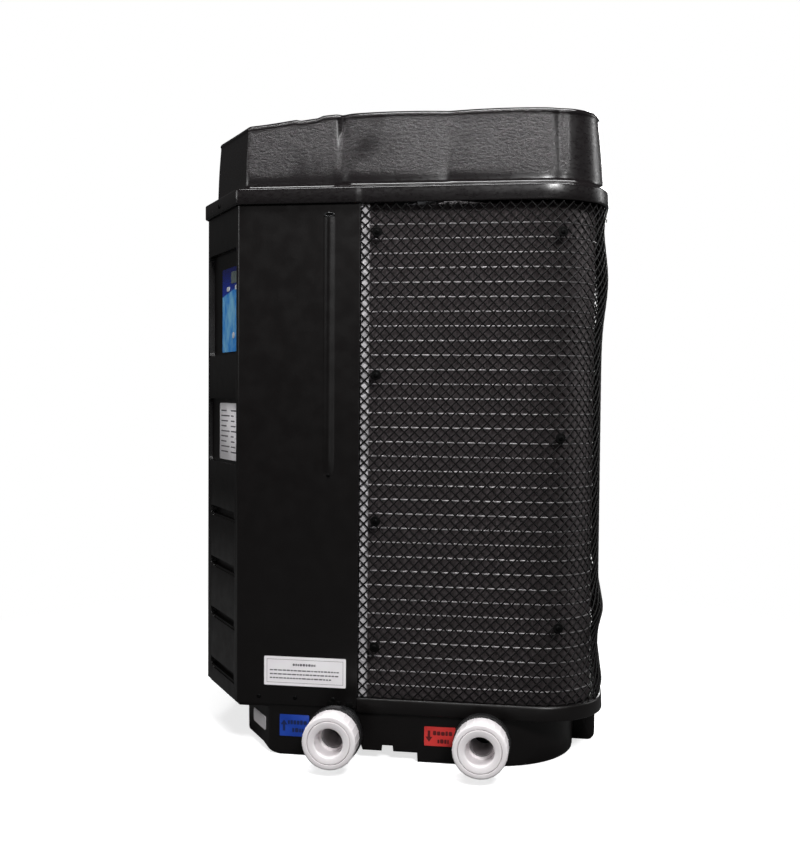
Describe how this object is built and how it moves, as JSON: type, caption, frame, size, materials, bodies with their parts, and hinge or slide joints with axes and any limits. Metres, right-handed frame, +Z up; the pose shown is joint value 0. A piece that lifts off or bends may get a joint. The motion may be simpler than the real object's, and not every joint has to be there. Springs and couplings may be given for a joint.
{
  "type": "pool heat pump",
  "caption": "Top-discharge pool heat pump: moulded cabinet, wrap-around coil behind diamond netting, slanted control face, vertical fan and water unions.",
  "frame": {"origin": "centre of the cabinet footprint, on the ground", "axes": "+Z up; the front with the service panel and the water unions faces -Y; +X to the right seen from the front"},
  "size_m": [0.771, 0.8685, 1.14],
  "materials": {
    "black_moulding": "rotomoulded polyethylene with an orange-peel skin",
    "coated_wire": "plastic-coated steel wire",
    "fan_plastic": "glass-filled plastic",
    "bright_steel": "zinc plated",
    "motor_paint": "satin paint",
    "galvanised": "galvanised sheet with spangle",
    "coil_metal": "dark coated fin stock",
    "copper": "drawn copper tube",
    "guard_net": "extruded diamond netting",
    "black_fastener": "black coated",
    "keypad_film": "printed membrane overlay",
    "display_lens": "clear window over a grey display",
    "key_white": "embossed key top",
    "circuit_board": "solder mask",
    "black_phenolic": "moulded",
    "cream_phenolic": "moulded",
    "bright_aluminium": "drawn can",
    "winding_paper": "varnished winding",
    "compressor_paint": "black enamel",
    "rubber_black": "moulded rubber",
    "exchanger_shell": "thick-walled moulding",
    "titanium": "drawn tube",
    "valve_brass": "machined brass",
    "grey_pvc": "extruded pipe",
    "black_pvc": "moulded fitting",
    "white_pvc": "moulded fitting",
    "label_white": "printed film label",
    "label_blue": "printed film label",
    "label_red": "printed film label"
  },
  "bodies": {
    "cabinet": {"base_pan": "black_moulding", "service_panel": "black_moulding", "side_panel": "black_moulding", "corner_posts": "galvanised", "top_cap": "black_moulding", "fan_guard": "coated_wire", "fan_motor": "motor_paint", "motor_bracket": "galvanised", "motor_bolts": "bright_steel", "coil_fins": "coil_metal", "coil_bends": "copper", "coil_end_plate_front": "galvanised", "coil_end_plate_rear": "galvanised", "coil_guard": "guard_net", "guard_screws": "black_fastener", "guard_washers": "black_fastener", "cap_screws": "black_fastener", "panel_screws": "bright_steel", "keypad": "keypad_film", "display_window": "display_lens", "control_board": "circuit_board", "control_box": "galvanised", "contactor_body": "black_phenolic", "run_capacitor": "bright_aluminium", "terminal_block": "cream_phenolic", "transformer": "winding_paper", "compressor": "compressor_paint", "compressor_grommets": "rubber_black", "compressor_bolts": "bright_steel", "exchanger_shell": "exchanger_shell", "exchanger_coil": "titanium", "discharge_line": "copper", "suction_line": "copper", "liquid_line": "copper", "expansion_valve": "valve_brass", "filter_drier": "compressor_paint", "water_in_pipe": "grey_pvc", "water_out_pipe": "grey_pvc", "inlet_union_body": "black_pvc", "outlet_union_body": "black_pvc", "union_seals": "rubber_black", "water_pressure_switch": "cream_phenolic", "rating_label": "label_white", "notice_label": "label_white", "water_in_label": "label_blue", "water_out_label": "label_red", "base_label": "label_white", "cable_gland": "black_phenolic"},
    "fan": {"fan_blades": "fan_plastic", "fan_shaft": "bright_steel"},
    "up_key": {"up_key": "key_white"},
    "down_key": {"down_key": "key_white"},
    "power_key": {"power_key": "key_white"},
    "armature": {"contactor_armature": "cream_phenolic"},
    "inlet_nut": {"inlet_union_nut": "white_pvc"},
    "outlet_nut": {"outlet_union_nut": "white_pvc"},
    "inlet_tail": {"inlet_tailpiece": "white_pvc"},
    "outlet_tail": {"outlet_tailpiece": "white_pvc"}
  },
  "joints": [
    {"name": "fan_spin", "type": "hinge", "parent": "cabinet", "child": "fan", "pos_m": [0, 0, 1.015], "axis": [0, 0, 1], "continuous": true},
    {"name": "up_key_press", "type": "slide", "parent": "cabinet", "child": "up_key", "axis": [0.8273, 0.5618, 0], "range_m": [0, 0.0008]},
    {"name": "down_key_press", "type": "slide", "parent": "cabinet", "child": "down_key", "axis": [0.8273, 0.5618, 0], "range_m": [0, 0.0008]},
    {"name": "power_key_press", "type": "slide", "parent": "cabinet", "child": "power_key", "axis": [0.8273, 0.5618, 0], "range_m": [0, 0.0008]},
    {"name": "contactor_pull", "type": "slide", "parent": "cabinet", "child": "armature", "axis": [0.8273, 0.5618, 0], "range_m": [0, 0.003]},
    {"name": "inlet_tail_slide", "type": "slide", "parent": "cabinet", "child": "inlet_tail", "axis": [0, -1, 0], "range_m": [0, 0.012]},
    {"name": "inlet_nut_turn", "type": "hinge", "parent": "inlet_tail", "child": "inlet_nut", "pos_m": [-0.076, -0.463, 0.061], "axis": [0, -1, 0], "range_deg": [0, 1080]},
    {"name": "outlet_tail_slide", "type": "slide", "parent": "cabinet", "child": "outlet_tail", "axis": [0, -1, 0], "range_m": [0, 0.012]},
    {"name": "outlet_nut_turn", "type": "hinge", "parent": "outlet_tail", "child": "outlet_nut", "pos_m": [0.178, -0.463, 0.061], "axis": [0, -1, 0], "range_deg": [0, 1080]}
  ],
  "couplings": [
    {"joint": "inlet_tail_slide", "follows": "inlet_nut_turn", "m_per_rad": 0.000636},
    {"joint": "outlet_tail_slide", "follows": "outlet_nut_turn", "m_per_rad": 0.000636}
  ]
}
